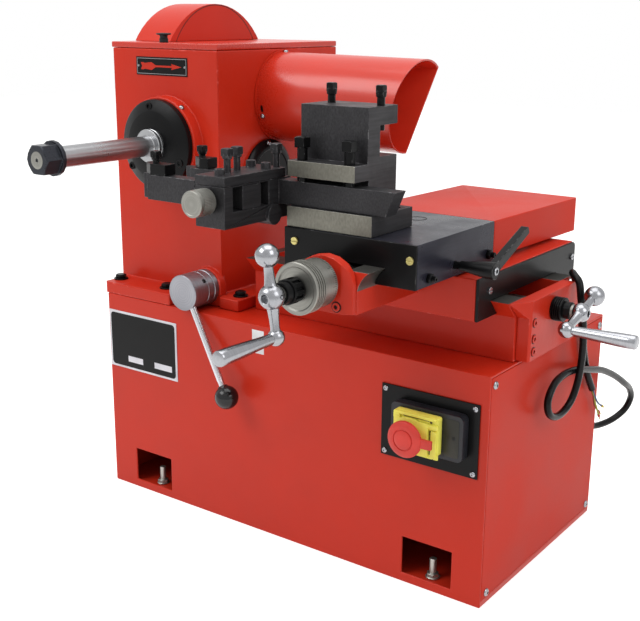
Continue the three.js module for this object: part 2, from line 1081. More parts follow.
function makeSpindleNut() {
  const back = threadStart - seat;
  const flangeFront = back - spindleNut.flangeLength;
  const nutFront = spindleTip + seat;
  const rim = spindleNut.width / 2;
  const crown = [
    [0, nutFront],
    [rim, nutFront],
    [rim + spindleNut.bevel, nutFront + spindleNut.bevel / 2],
    [rim + spindleNut.bevel, flangeFront + seat],
    [0, flangeFront + seat],
  ];
  const hex = prismY(hexagon(spindleX, spindleZ, spindleNut.width), [nutFront, flangeFront + seat]);
  const solid = cut(
    join(
      hex.intersect(turnedY(crown, spindleX, spindleZ)),
      turnedY(rod(spindleNut.flangeRadius, [flangeFront, back]), spindleX, spindleZ),
    ),
    turnedY(bore(spindle.threadRadius, running, [spindleTip - overrun, back + overrun]), spindleX, spindleZ),
  );
  add('spindle_nut', solid, blackOxide);
}

// Worm shaft, stepped pulleys, belt and motor
function pulleyProfile(hole, radii) {
  const half = pulley.stepWidth / 2;
  const points = [[hole, pulleyLeft]];
  radii.forEach((radius, index) => {
    const middle = pulleyLeft + half + index * pulley.stepWidth;
    points.push(
      [radius, middle - half],
      [radius, middle - pulley.grooveTop / 2],
      [radius - pulley.grooveDepth, middle - pulley.grooveFoot / 2],
      [radius - pulley.grooveDepth, middle + pulley.grooveFoot / 2],
      [radius, middle + pulley.grooveTop / 2],
      [radius, middle + half],
    );
  });
  points.push([hole, pulleyLeft + radii.length * pulley.stepWidth]);
  return points;
}

function makeWormDrive() {
  const wormSpan = [spindleX - worm.wormLength / 2, spindleX + worm.wormLength / 2];
  const profile = [
    [0, columnLeft],
    [worm.shaftRadius, columnLeft],
    [worm.shaftRadius, wormSpan[0]],
    [worm.wormRadius, wormSpan[0]],
    [worm.wormRadius, wormSpan[1]],
    [worm.shaftRadius, wormSpan[1]],
    [worm.shaftRadius, columnRight + worm.tailPast],
    [0, columnRight + worm.tailPast],
  ];
  add('worm_shaft', turnedX(profile, wormY, wormZ), groundSteel);
  const hole = worm.shaftRadius + seat;
  const driven = pulleyProfile(hole, [pulley.largeRadius, pulley.smallRadius]);
  add('driven_pulley', turnedX([...driven, driven[0]], wormY, wormZ), castIron);
}

function makeMotor() {
  const left = pulleyLeft + 2 * pulley.stepWidth + motor.fromPulley;
  const right = left + motor.length;
  const seatZ = cabinet.floor + seat;
  const driving = pulleyProfile(0, [pulley.motorSmallRadius, pulley.motorLargeRadius]);
  const shaftSpan = [pulleyLeft + pulley.stepWidth, left + motor.shaftInside];
  const shaft = turnedX(rod(motor.shaftRadius, shaftSpan), wormY, motorZ);
  add('motor_pulley', join(turnedX(driving, wormY, motorZ), shaft), castIron);

  const finSpan = [left + motor.fromPulley, right - motor.fromPulley];
  const pitch = (finSpan[1] - finSpan[0]) / motor.fins;
  const barrel = [[0, left], [motor.radius - motor.finDepth, left]];
  for (let i = 0; i < motor.fins; i += 1) {
    const start = finSpan[0] + i * pitch;
    barrel.push(
      [motor.radius - motor.finDepth, start],
      [motor.radius, start],
      [motor.radius, start + motor.finWidth],
      [motor.radius - motor.finDepth, start + motor.finWidth],
    );
  }
  barrel.push([motor.radius - motor.finDepth, right], [0, right]);
  const feet = block(
    [left + motor.fromPulley, right - motor.fromPulley],
    [wormY - motor.footWidth / 2, wormY + motor.footWidth / 2],
    [seatZ, seatZ + motor.footHeight],
  );
  const saddleBlock = block(
    [left + motor.fromPulley, right - motor.fromPulley],
    [wormY - motor.radius / 2, wormY + motor.radius / 2],
    [seatZ, motorZ],
  );
  const middle = (left + right) / 2;
  const terminalBox = block(
    [middle - motor.boxSide / 2, middle + motor.boxSide / 2],
    [wormY - motor.boxSide / 2, wormY + motor.boxSide / 2],
    [motorZ, motorZ + motor.boxHeight],
  );
  const solid = cut(
    join(turnedX(barrel, wormY, motorZ, ballSides), feet, saddleBlock, terminalBox),
    turnedX(
      bore(motor.shaftRadius, running, [left - overrun, left + motor.shaftInside + running + seat]),
      wormY,
      motorZ,
    ),
  );
  add('motor', solid, castIron);
}

// A belt loop around two pulleys, as the outline of two arcs and their tangents
function loopOutline(upperRadius, lowerRadius) {
  const distance = wormZ - motorZ;
  const lean = Math.acos((upperRadius - lowerRadius) / distance);
  const points = [];
  const arc = (z, radius, from, to) => {
    for (let i = 0; i <= smallSides; i += 1) {
      const angle = from + ((to - from) * i) / smallSides;
      points.push([wormY + radius * Math.cos(angle), z + radius * Math.sin(angle)]);
    }
  };
  arc(wormZ, upperRadius, lean - Math.PI / 2, (3 * Math.PI) / 2 - lean);
  arc(motorZ, lowerRadius, (3 * Math.PI) / 2 - lean, (3 * Math.PI) / 2 + lean);
  return points;
}

function makeBelt() {
  const middle = pulleyLeft + pulley.stepWidth / 2;
  const span = [middle - belt.width / 2, middle + belt.width / 2];
  const inner = -pulley.grooveDepth + belt.clearance;
  const outer = inner + belt.height;
  const loop = prismX(
    outline(loopOutline(pulley.largeRadius + outer, pulley.motorSmallRadius + outer)),
    span,
  );
  const room = prismX(
    outline(loopOutline(pulley.largeRadius + inner, pulley.motorSmallRadius + inner)),
    [span[0] - overrun, span[1] + overrun],
  );
  add('drive_belt', cut(loop, room), rubber);
}

// Drive lever: chrome hub, leaning rod and ball
function makeLever() {
  const back = bossFront - seat;
  const front = back - lever.hubLength;
  const rimInner = lever.hubRadius - lever.rimWidth;
  const profile = [
    [0, front + lever.faceRecess],
    [rimInner, front + lever.faceRecess],
    [rimInner, front],
    [lever.hubRadius - lever.faceRecess, front],
    [lever.hubRadius, front + lever.faceRecess],
    [lever.hubRadius, back],
    [lever.shaftRadius, back],
    [lever.shaftRadius, back + lever.shaftInside],
    [0, back + lever.shaftInside],
  ];
  const hub = turnedY(profile, leverX, leverZ, largeSides);
  const centre = new THREE.Vector3(leverX, front + lever.rodFromFace, leverZ);
  const ballCentre = centre.clone().add(new THREE.Vector3(lever.ballRight, -lever.ballOut, -lever.ballDown));
  const direction = ballCentre.clone().sub(centre).normalize();
  const rodEnd = ballCentre.clone().addScaledVector(direction, -lever.ballRadius + lever.rodInBall);
  const rodSolid = bar(centre, rodEnd, lever.rodRadius, lever.rodRadius);
  const side = new THREE.Vector3(direction.z, 0, -direction.x).normalize();
  const holeStart = centre.clone().addScaledVector(side, -lever.hubRadius - overrun);
  const holeEnd = centre.clone().addScaledVector(side, -lever.hubRadius + lever.holeDepth);
  const hole = bar(holeStart, holeEnd, lever.holeRadius, lever.holeRadius);
  add('lever_hub', cut(join(hub, rodSolid), hole), chrome);

  const boreStart = ballCentre.clone().addScaledVector(direction, -lever.ballRadius - overrun);
  const boreEnd = rodEnd.clone().addScaledVector(direction, seat);
  const socket = bar(boreStart, boreEnd, lever.rodRadius + seat, lever.rodRadius + seat);
  add('lever_ball', cut(ball(lever.ballRadius, ballCentre), socket), blackPlastic);
}

// Bed
const bedRight = bed.left + bed.length;
const bedBack = bed.front + bed.width;
const wayTop = cabinetTop + bed.wayHeight;
const wayFoot = cabinetTop + bed.blockHeight;
const screwZ = wayTop - bedScrew.belowWay;

function bedOutline() {
  return outline([
    [bed.front, cabinetTop + seat],
    [bedBack, cabinetTop + seat],
    [bedBack, wayFoot],
    [bed.wayBack, wayTop],
    [bed.wayFront, wayTop],
    [bed.front, wayFoot],
  ]);
}

function makeBed() {
  const channel = block(
    [bed.left + bed.endWall, bedRight + overrun],
    [bed.wayFront + bed.wayWidth, bed.wayBack - bed.wayWidth],
    [wayTop - bed.channelDepth, wayTop + overrun],
  );
  const end = turnedX(
    bore(bedScrew.radius, running, [bed.left + bed.endWall / 2, bed.left + bed.endWall + overrun]),
    bedScrew.fromFront,
    screwZ,
  );
  add('bed', cut(prismX(bedOutline(), [bed.left, bedRight]), channel, end), redPaint);
}

function makeBedBracket() {
  const span = [bedRight + seat, bedRight + seat + bracket.thickness];
  const profile = outline([
    [bracket.lowerFront, cabinetTop + bracket.lift],
    [bracket.lowerBack, cabinetTop + bracket.lift],
    [bracket.lowerBack, wayTop, bracket.shoulderRadius],
    [bed.wayFront, wayTop],
    [bracket.lowerFront, wayFoot],
  ]);
  const plan = outline([
    [span[0], bed.wayFront],
    [span[1], bracket.chamferFront],
    [span[1], bracket.lowerBack],
    [span[0], bracket.lowerBack],
  ]);
  const whole = prismX(profile, span).intersect(prismZ(plan, [cabinetTop, wayTop + overrun]));
  const hole = turnedX(
    bore(bedScrew.radius, running, [span[0] - overrun, span[1] + overrun]),
    bedScrew.fromFront,
    screwZ,
  );
  add('bed_bracket', cut(whole, hole), redPaint);
}

// Saddle: it slides on the bed and carries the cross way
const saddleFoot = cabinetTop + saddle.bottom;
const saddleTop = cabinetTop + saddle.top;
const saddleRight = saddle.left + saddle.length;
const crossFront = saddle.front - crossWay.reach;
const crossTop = saddleTop + crossWay.height;
const crossScrewZ = crossTop - crossScrew.belowWay;

function bedGroove(span) {
  const spread = ((bed.front - bed.wayFront) * sliding) / (wayTop - wayFoot) + sliding;
  return prismX(
    outline([
      [bed.front - spread, wayFoot - overrun],
      [bedBack + spread, wayFoot - overrun],
      [bedBack + spread, wayFoot],
      [bed.wayBack + spread, wayTop + sliding],
      [bed.wayFront - spread, wayTop + sliding],
      [bed.front - spread, wayFoot],
    ]),
    span,
  );
}

// The cross way flares out in a shallow curve from its neck to its top
function crossWayOutline(gap, low) {
  const shape = new THREE.Shape();
  const centre = crossWay.centre;
  const spread = gap + (gap * (crossWay.topHalf - crossWay.neckHalf)) / crossWay.height;
  const neck = crossWay.neckHalf + spread;
  const top = crossWay.topHalf + spread;
  const bowHalf = (neck + top) / 2 - crossWay.flareBow;
  const bowZ = (saddleTop + crossTop + crossWay.flareBow) / 2;
  shape.moveTo(centre - neck, low);
  shape.lineTo(centre + neck, low);
  shape.lineTo(centre + neck, saddleTop);
  shape.quadraticCurveTo(centre + bowHalf, bowZ, centre + top, crossTop);
  if (gap > 0) {
    shape.lineTo(centre + top, crossTop + gap);
    shape.lineTo(centre - top, crossTop + gap);
  }
  shape.lineTo(centre - top, crossTop);
  shape.quadraticCurveTo(centre - bowHalf, bowZ, centre - neck, saddleTop);
  shape.closePath();
  return shape;
}

function makeSaddle() {
  const body = block([saddle.left, saddleRight], [saddle.front, saddle.back], [saddleFoot, saddleTop]);
  const beam = prismY(crossWayOutline(0, saddleTop - crossWay.beamHeight), [crossFront, saddle.back]);
  const channel = block(
    [crossWay.centre - crossWay.channelHalf, crossWay.centre + crossWay.channelHalf],
    [crossFront - overrun, saddle.back - crossWay.endWall],
    [crossTop - crossWay.channelDepth, crossTop + overrun],
  );
  const nutX = [crossWay.centre - saddle.nutLength / 2, crossWay.centre + saddle.nutLength / 2];
  const nut = block(
    nutX,
    [bedScrew.fromFront - saddle.nutWidth / 2, bedScrew.fromFront + saddle.nutWidth / 2],
    [wayTop + sliding - saddle.nutDrop, wayTop + 2 * sliding],
  );
  const nutBore = turnedX(
    bore(bedScrew.radius, running, [nutX[0] - overrun, nutX[1] + overrun]),
    bedScrew.fromFront,
    screwZ,
  );
  const tailBore = turnedY(
    bore(crossScrew.radius, running, [saddle.back - 2 * crossWay.endWall, saddle.back - crossWay.endWall / 2]),
    crossWay.centre,
    crossScrewZ,
  );
  const grooved = cut(join(body, beam), bedGroove([saddle.left - overrun, saddleRight + overrun]), channel);
  add('saddle', cut(join(grooved, nut), nutBore, tailBore), redPaint);

  const plateSpan = [saddleRight + seat, saddleRight + seat + saddle.plate];
  const plate = prismX(
    outline([
      [saddle.front, saddleFoot],
      [saddle.back, saddleFoot],
      [saddle.back, saddleTop, saddle.plateCorner],
      [saddle.front, saddleTop],
    ]),
    plateSpan,
  );
  const grooveSpan = [plateSpan[0] - overrun, plateSpan[1] + overrun];
  add('saddle_end_plate', cut(plate, bedGroove(grooveSpan)), blackPaint);
}

function makeFrontBracket() {
  const back = crossFront - seat;
  const front = back - frontBracket.thickness;
  const c = crossWay.centre;
  const low = crossScrewZ - frontBracket.below;
  const round = [];
  for (let i = 0; i <= plainSides / 2; i += 1) {
    const angle = (Math.PI * i) / (plainSides / 2);
    round.push([
      c + frontBracket.halfWidth * Math.cos(angle),
      crossScrewZ + frontBracket.above * Math.sin(angle),
    ]);
  }
  const face = outline([[c + frontBracket.halfWidth, low], ...round, [c - frontBracket.halfWidth, low]]);
  const plan = outline([
    [c - frontBracket.faceHalf, front],
    [c + frontBracket.faceHalf, front],
    [c + frontBracket.halfWidth, (front + back) / 2],
    [c + frontBracket.halfWidth, back],
    [c - frontBracket.halfWidth, back],
    [c - frontBracket.halfWidth, (front + back) / 2],
  ]);
  const hole = turnedY(
    bore(crossScrew.radius, running, [front - overrun, back + overrun]),
    c,
    crossScrewZ,
  );
  const whole = prismY(face, [front, back]).intersect(prismZ(plan, [low, crossTop + frontBracket.above]));
  add('front_bracket', cut(whole, hole), redPaint);
}

// Top slide with its front plate, its cover and its nut
const slideFoot = saddleTop + slide.under;
const slideTop = slideFoot + slide.height;
const slideX = [crossWay.centre - slide.leftOfCentre, crossWay.centre - slide.leftOfCentre + slide.width];

function crossGroove(span) {
  return prismY(crossWayOutline(sliding, slideFoot - overrun), span);
}

function makeTopSlide() {
  const slideY = [-slide.front, slide.back];
  const body = block(slideX, slideY, [slideFoot, slideTop]);
  const nutY = [0, slide.nutLength];
  const nut = block(
    [crossWay.centre - slide.nutWidth / 2, crossWay.centre + slide.nutWidth / 2],
    nutY,
    [crossTop + sliding - slide.nutDrop, crossTop + 2 * sliding],
  );
  const nutBore = turnedY(
    bore(crossScrew.radius, running, [nutY[0] - overrun, nutY[1] + overrun]),
    crossWay.centre,
    crossScrewZ,
  );
  const studZ = slideFoot + clampLever.aboveUnder;
  const studBore = turnedX(
    bore(clampLever.studRadius, running, [slideX[1] - clampLever.studInside, slideX[1] + overrun]),
    -slide.front + clampLever.fromFront,
    studZ,
  );
  const grooved = cut(body, crossGroove([slideY[0] - overrun, slideY[1] + overrun]));
  add('top_slide', cut(join(grooved, nut), nutBore, studBore), blackPaint);

  const plateY = [slideY[0] - seat - slide.plate, slideY[0] - seat];
  const plate = block(slideX, plateY, [slideFoot, slideTop]);
  add('front_plate', cut(plate, crossGroove([plateY[0] - overrun, plateY[1] + overrun])), blackPaint);

  const coverY = [slideY[1] + seat, slideY[1] + seat + cover.length];
  const coverZ = [slideTop - cover.height, slideTop];
  const shell = prismZ(
    outline([
      [slideX[0], coverY[0]],
      [slideX[1], coverY[0]],
      [slideX[1], coverY[1], cover.corner],
      [slideX[0], coverY[1], cover.corner],
    ]),
    coverZ,
  );
  const room = block(
    [slideX[0] + cover.wall, slideX[1] - cover.wall],
    [coverY[0] + cover.wall, coverY[1] - cover.wall],
    [coverZ[0] - overrun, coverZ[1] - cover.wall],
  );
  const doorway = crossGroove([coverY[0] - overrun, coverY[0] + cover.wall + overrun]);
  const slope = cover.endDrop / cover.length;
  add('slide_cover', cut(shell, room, doorway).transform(lean('y', coverY[0], slope)), redPaint);
}

// Clamp lever on the side of the top slide
function makeClampLever() {
  const [y, z] = [-slide.front + clampLever.fromFront, slideFoot + clampLever.aboveUnder];
  const face = slideX[1];
  const studEnd = face + seat + clampLever.studLength;
  const hubEnd = studEnd + clampLever.hubLength;
  const stud = [
    [0, face - clampLever.studInside + seat],
    [clampLever.studRadius, face - clampLever.studInside + seat],
    [clampLever.studRadius, face + seat + clampLever.hubStart],
    [clampLever.hubSmall, face + seat + clampLever.hubStart],
    [clampLever.hubSmall, studEnd],
    [clampLever.hubRadius, hubEnd - clampLever.armThickness],
    [clampLever.hubRadius, hubEnd],
    [0, hubEnd],
  ];
  const half = clampLever.armWide / 2;
  const tip = clampLever.armNarrow / 2;
  const angle = THREE.MathUtils.degToRad(clampLever.armTilt);
  const turn = ([u, v, radius]) => [
    y + u * Math.cos(angle) - v * Math.sin(angle),
    z + u * Math.sin(angle) + v * Math.cos(angle),
    radius,
  ];
  const armOutline = outline([
    turn([0, -half]),
    turn([clampLever.armLength, -tip, tip / 2]),
    turn([clampLever.armLength, tip, tip / 2]),
    turn([0, half]),
  ]);
  const armSolid = prismX(armOutline, [hubEnd - clampLever.armThickness, hubEnd - clampLever.studRadius / 4]);
  add('clamp_lever', join(turnedX(stud, y, z), armSolid), blackOxide);
}

// Tool post on its base block
const baseX = [slideX[0] + postBase.inset, slideX[0] + postBase.inset + postBase.width];
const baseY = [-slide.front, -slide.front + postBase.depth];
const baseFoot = slideTop + seat;
const baseTop = baseFoot + postBase.height;
const postX = [baseX[0] + post.inset, baseX[0] + post.inset + post.width];
const postFoot = baseTop + seat;
const postSlotBack = baseY[0] + post.slotDepth;
const postBackY = baseY[0] + post.depth;
const ledgeFoot = postFoot + post.slotHeight;
const ledgeTop = ledgeFoot + post.ledge;
const notchFoot = postFoot + post.notchFloor;
const notchTop = notchFoot + post.notchHeight;
const postTop = notchTop + post.cap;
const notchFront = postBackY - post.notchDepth;

function makeToolPost() {
  const holeX = baseX[1] - postBase.holeFromRight;
  const holeY = baseY[1] - postBase.holeFromBack;
  const holeSpan = [baseTop - postBase.holeDepth, baseTop + overrun];
  const hole = turnedZ(rod(postBase.holeRadius, holeSpan), holeX, holeY);
  add('post_base', cut(block(baseX, baseY, [baseFoot, baseTop]), hole), blackOxide);

  const side = outline([
    [postSlotBack, postFoot],
    [postBackY, postFoot],
    [postBackY, notchFoot],
    [notchFront, notchFoot],
    [notchFront, notchTop],
    [postBackY, notchTop],
    [postBackY, postTop],
    [notchFront - post.upright, postTop],
    [notchFront - post.upright, ledgeTop],
    [baseY[0], ledgeTop],
    [baseY[0], ledgeFoot],
    [postSlotBack, ledgeFoot],
  ]);
  let solid = prismX(side, postX);
  const ledgeY = baseY[0] + clampScrew.fromFront;
  const capY = postBackY - capScrew.fromBack;
  const ledgeX = [postX[0] + clampScrew.edge, postX[1] - clampScrew.edge];
  const capX = [postX[0] + capScrew.leftEdge, postX[1] - capScrew.rightEdge];
  const screws = [];
  [0, 1].forEach((side) => {
    const ledgeFloor = holderFoot + shank.height + seat;
    const ledgeHole = bore(clampScrew.radius, seat, [ledgeFoot - overrun, ledgeTop + overrun]);
    const capHole = bore(capScrew.radius, seat, [notchTop - overrun, postTop + overrun]);
    solid = cut(solid, turnedZ(ledgeHole, ledgeX[side], ledgeY), turnedZ(capHole, capX[side], capY));
    screws.push(squareScrew(clampScrew, ledgeX[side], ledgeY, ledgeFloor, ledgeTop + clampScrew.stand));
    const top = postTop + capScrew.stand;
    screws.push(collarScrew(capScrew, capX[side], capY, notchTop - capScrew.past, top));
  });
  add('tool_post', solid, blackOxide);
  screws.forEach((screw, index) => add(`post_screw_${index + 1}`, screw, blackOxide));
}

function squareScrew(size, x, y, tip, top) {
  const half = size.headWidth / 2;
  const bevel = size.headWidth * clampScrew.bevelShare;
  const head = block([x - half, x + half], [y - half, y + half], [top - size.headHeight, top]);
  const dressed = head.intersect(
    turnedZ(
      [
        [0, top - size.headHeight],
        [2 * half, top - size.headHeight],
        [2 * half, top - bevel],
        [half, top],
        [0, top],
      ],
      x,
      y,
      smallSides,
    ),
  );
  return join(dressed, turnedZ(rod(size.radius, [tip, top - bevel]), x, y, smallSides));
}

// A square head screw with a round collar under its head
function collarScrew(size, x, y, tip, top) {
  const neck = [top - size.headHeight - size.collarHeight, top - size.headHeight + size.collarHeight];
  return join(squareScrew(size, x, y, tip, top), turnedZ(rod(size.collarRadius, neck), x, y, smallSides));
}

// Disc tool holder: body with a window, shank, top plate, arms, slider and knob
const holderFoot = baseTop + seat;
const holderX = [holder.left, holder.left + holder.width];
const bodyTop = holderFoot + holder.aboveBase;
const holderY = [-holder.front, -holder.back];
const windowY = [-holder.windowFront, -holder.windowBack];
const slotZ = [holderFoot + holder.windowLow, holderFoot + holder.windowHigh];
const knobX = holderX[0] + knob.fromLeft;
const knobZ = slotZ[0] + knob.aboveWindow;
const armZ = [holderFoot + arm.low, holderFoot + arm.low + arm.height];
const plateTop = bodyTop + seat + topPlate.thickness;

function makeHolder() {
  const body = block(holderX, holderY, [holderFoot - holder.under, bodyTop]);
  const shankX = [holderX[1] - overrun, holderX[1] + shank.length];
  const shankZ = [holderFoot, holderFoot + shank.height];
  const shankSolid = prismY(
    outline([
      [shankX[0], shankZ[0]],
      [shankX[1] - shank.lowShort, shankZ[0]],
      [shankX[1], shankZ[1]],
      [shankX[0], shankZ[1]],
    ]),
    [-shank.front, -holder.back],
  );
  const lugY = -holder.back - holder.lugFromBack;
  const lugZ = holderFoot - holder.under;
  const lug = turnedX(
    rod(holder.lugRadius, [holderX[0] + holder.lugLength, holderX[1] + holder.lugLength / 4]),
    lugY,
    lugZ + holder.lugRadius / 2,
  );
  const slot = block([holderX[0] - overrun, holderX[1] + overrun], windowY, slotZ);
  const holeSpan = [holderY[0] - overrun, windowY[0] + overrun];
  const hole = turnedY(bore(knob.screwRadius, running, holeSpan), knobX, knobZ);
  const clearShank = block(
    [holderX[1], shankX[1]],
    [holderY[0] - overrun, holderY[1] + overrun],
    [lugZ - holder.lugRadius, shankZ[0]],
  );
  const solid = cut(join(body, lug, cut(shankSolid, clearShank)), slot, hole);
  add('tool_body', solid, blackOxide);

  const plateY = [holderY[0], holderY[1] - topPlate.backInset];
  let plate = block(holderX, plateY, [bodyTop + seat, plateTop]);
  const screwFoot = plateTop - topPlate.socketDepth;
  const across = holderX[1] - holderX[0];
  const along = plateY[1] - plateY[0];
  const tallShares = [[0.5, 0.28], [0.42, 0.47], [0.8, 0.94]];
  const headShares = [[0.64, 0.1], [0.2, 0.8], [0.82, 0.75]];
  tallShares.forEach(([u, v]) => {
    const [x, y] = [holderX[0] + u * across, plateY[0] + v * along];
    plate = join(plate, collarScrew(tallScrew, x, y, screwFoot, plateTop + tallScrew.stand));
  });
  headShares.forEach(([u, v]) => {
    const [x, y] = [holderX[0] + u * across, plateY[0] + v * along];
    const top = plateTop + topPlate.headHeight;
    const socketSpan = [top - topPlate.socketDepth, top + overrun];
    plate = join(plate, turnedZ(rod(topPlate.headRadius, [screwFoot, top]), x, y, smallSides));
    plate = cut(plate, prismZ(hexagon(x, y, 2 * topPlate.socketRadius), socketSpan));
  });
  add('tool_top_plate', plate, blackOxide);
}

// An arm reaches left along X; its left end is stepped down on the outer side
function armOutline([y0, y1], right) {
  const left = holderX[0] - arm.length;
  return outline([
    [left, y0 + arm.stepDepth],
    [left + arm.step, y0 + arm.stepDepth],
    [left + arm.step, y0],
    [right, y0],
    [right, y1],
    [left, y1],
  ]);
}

function armClamp([y0, y1], inset, length) {
  const left = holderX[0] - arm.length + inset;
  const under = armZ[1] + seat;
  const top = under + arm.clampHeight;
  const clamp = prismZ(
    outline([
      [left, y0 + arm.stepDepth],
      [left + arm.step, y0],
      [left + length, y0],
      [left + length, y1],
      [left, y1],
    ]),
    [under, top],
  );
  const [x, y] = [left + arm.boltShare * length, (y0 + y1) / 2];
  return join(clamp, collarScrew(armScrew, x, y, top - seat, top + armScrew.stand));
}

function makeArms() {
  const frontY = [holderY[0], holderY[0] + arm.width];
  add('front_arm', prismZ(armOutline(frontY, holderX[0] - seat), armZ), blackOxide);
  add('front_clamp', armClamp(frontY, arm.clampInset, arm.clampLength), blackOxide);

  const shoeX = [holderX[0] - seat - toolSlider.shoe, holderX[0] - seat];
  const rearY = [-toolSlider.armBack - arm.width, -toolSlider.armBack];
  const blockY = [-toolSlider.blockFront, -toolSlider.blockBack];
  const slider = cut(
    join(
      block([shoeX[1] - seat, holderX[1]], blockY, [slotZ[0] + sliding, slotZ[1] - sliding]),
      block(shoeX, [blockY[0], rearY[1]], armZ),
      prismZ(armOutline(rearY, shoeX[0] + seat), armZ),
    ),
    turnedY(bore(knob.screwRadius, running, [blockY[0] - overrun, blockY[1] + overrun]), knobX, knobZ),
  );
  add('tool_slider', slider, blackOxide);
  add('rear_clamp', armClamp(rearY, arm.rearClampInset, arm.rearClampLength), blackOxide);
}

function makeKnob() {
  const back = holderY[0] - seat;
  const ribFoot = back - knob.collar;
  const front = back - knob.length;
  const points = [];
  for (let i = 0; i < knob.ribs * 2; i += 1) {
    const angle = (Math.PI * (i + 1 / 2)) / knob.ribs;
    const radius = i % 2 ? knob.radius : knob.radius - knob.ribDepth;
    points.push([knobX + radius * Math.cos(angle), knobZ + radius * Math.sin(angle)]);
  }
  const bevel = knob.ribDepth;
  const dress = [
    [0, front],
    [knob.radius - bevel, front],
    [knob.radius, front + bevel],
    [knob.radius, ribFoot - bevel],
    [knob.radius - bevel, ribFoot],
    [0, ribFoot],
  ];
  const head = prismY(outline(points), [front, ribFoot]).intersect(turnedY(dress, knobX, knobZ, largeSides));
  const neck = turnedY(rod(knob.collarRadius, [ribFoot - bevel, back]), knobX, knobZ);
  const screw = turnedY(rod(knob.screwRadius, [ribFoot, back + knob.screwInside]), knobX, knobZ);
  add('knob', join(head, neck, screw), groundSteel);
}

// Feed screws with their dials
const bracketFace = bedRight + seat + bracket.thickness;
const sideDialSpan = [bracketFace + seat, bracketFace + seat + sideDial.length];
const sideHubX = sideDialSpan[1] + sideCrank.fromDial;
const bracketFront = crossFront - seat - frontBracket.thickness;
const dialBossEnd = bracketFront - seat;
const frontDialBack = dialBossEnd - frontDial.bossLength;
const frontDialSpan = [frontDialBack - frontDial.length, frontDialBack];
const jawSpan = [frontDialSpan[0] - seat - jaw.length, frontDialSpan[0] - seat];
const frontHubY = jawSpan[0] - frontCrank.fromJaw;

function groovedProfile(hole, radius, [t0, t1], count, depth, width, first) {
  const pitch = (t1 - t0) / (count + 1);
  const points = [[hole, t0], [radius, t0]];
  for (let i = 1; i <= count; i += 1) {
    const middle = t0 + i * pitch;
    points.push(
      [radius, middle - width / 2],
      [radius - depth, middle - width / 4],
      [radius - depth, middle + width / 4],
      [radius, middle + width / 2],
    );
  }
  points.push([radius, t1], ...first, [hole, t1]);
  return points;
}

function makeBedScrew() {
  const profile = [
    [0, bed.left + bed.endWall / 2 + seat],
    [bedScrew.radius, bed.left + bed.endWall / 2 + seat],
    [bedScrew.radius, bracketFace + bedScrew.shoulder],
    [bedScrew.endRadius, bracketFace + bedScrew.shoulder],
    [bedScrew.endRadius, sideHubX - sideCrank.hubRadius + sideCrank.boreDepth],
    [0, sideHubX - sideCrank.hubRadius + sideCrank.boreDepth],
  ];
  add('x_screw', turnedX(profile, bedScrew.fromFront, screwZ), groundSteel);

  const { grooves, grooveDepth, grooveWidth } = sideDial;
  const hole = bedScrew.radius + seat;
  const collarEnd = sideDialSpan[1] + sideDial.collarLength;
  const tail = [
    [sideDial.collarRadius, sideDialSpan[1]],
    [sideDial.collarRadius, collarEnd],
    [hole, collarEnd],
  ];
  const dial = groovedProfile(hole, sideDial.radius, sideDialSpan, grooves, grooveDepth, grooveWidth, tail);
  add('side_dial', turnedX([...dial, dial[0]], bedScrew.fromFront, screwZ), blackOxide);
}

function makeCrossScrew() {
  const back = saddle.back - crossWay.endWall / 2 - seat;
  const end = frontHubY + frontCrank.hubRadius - frontCrank.boreDepth;
  const profile = rod(crossScrew.radius, [end, back]);
  add('y_screw', turnedY(profile, crossWay.centre, crossScrewZ), groundSteel);

  const hole = crossScrew.radius + seat;
  const ridged = [frontDialSpan[0], frontDialSpan[0] + frontDial.ridgedLength];
  const ring = frontDial.radius - frontDial.ringStep;
  const tail = [
    [ring, ridged[1]],
    [ring, frontDialSpan[1]],
    [frontDial.bossRadius, frontDialSpan[1]],
    [frontDial.bossRadius, dialBossEnd],
  ];
  const { ridges, grooveDepth, grooveWidth } = frontDial;
  const { radius } = frontDial;
  const profilePoints = groovedProfile(hole, radius, ridged, ridges, grooveDepth, grooveWidth, tail);
  profilePoints[profilePoints.length - 1] = [hole, dialBossEnd];
  const dial = turnedY([...profilePoints, profilePoints[0]], crossWay.centre, crossScrewZ);
  add('front_dial', dial, groundSteel);

  let jawSolid = turnedY(pipe(hole, jaw.radius, jawSpan), crossWay.centre, crossScrewZ);
  for (let i = 0; i < jaw.teeth / 2; i += 1) {
    const angle = (2 * Math.PI * i) / jaw.teeth;
    const across = new THREE.Vector3(Math.cos(angle), 0, Math.sin(angle));
    across.multiplyScalar(jaw.radius + overrun);
    const middle = new THREE.Vector3(crossWay.centre, jawSpan[0], crossScrewZ);
    const slot = bar(middle.clone().sub(across), middle.clone().add(across), jaw.toothDepth, jaw.toothDepth);
    jawSolid = cut(jawSolid, slot);
  }
  add('front_jaw', jawSolid, blackOxide);
}

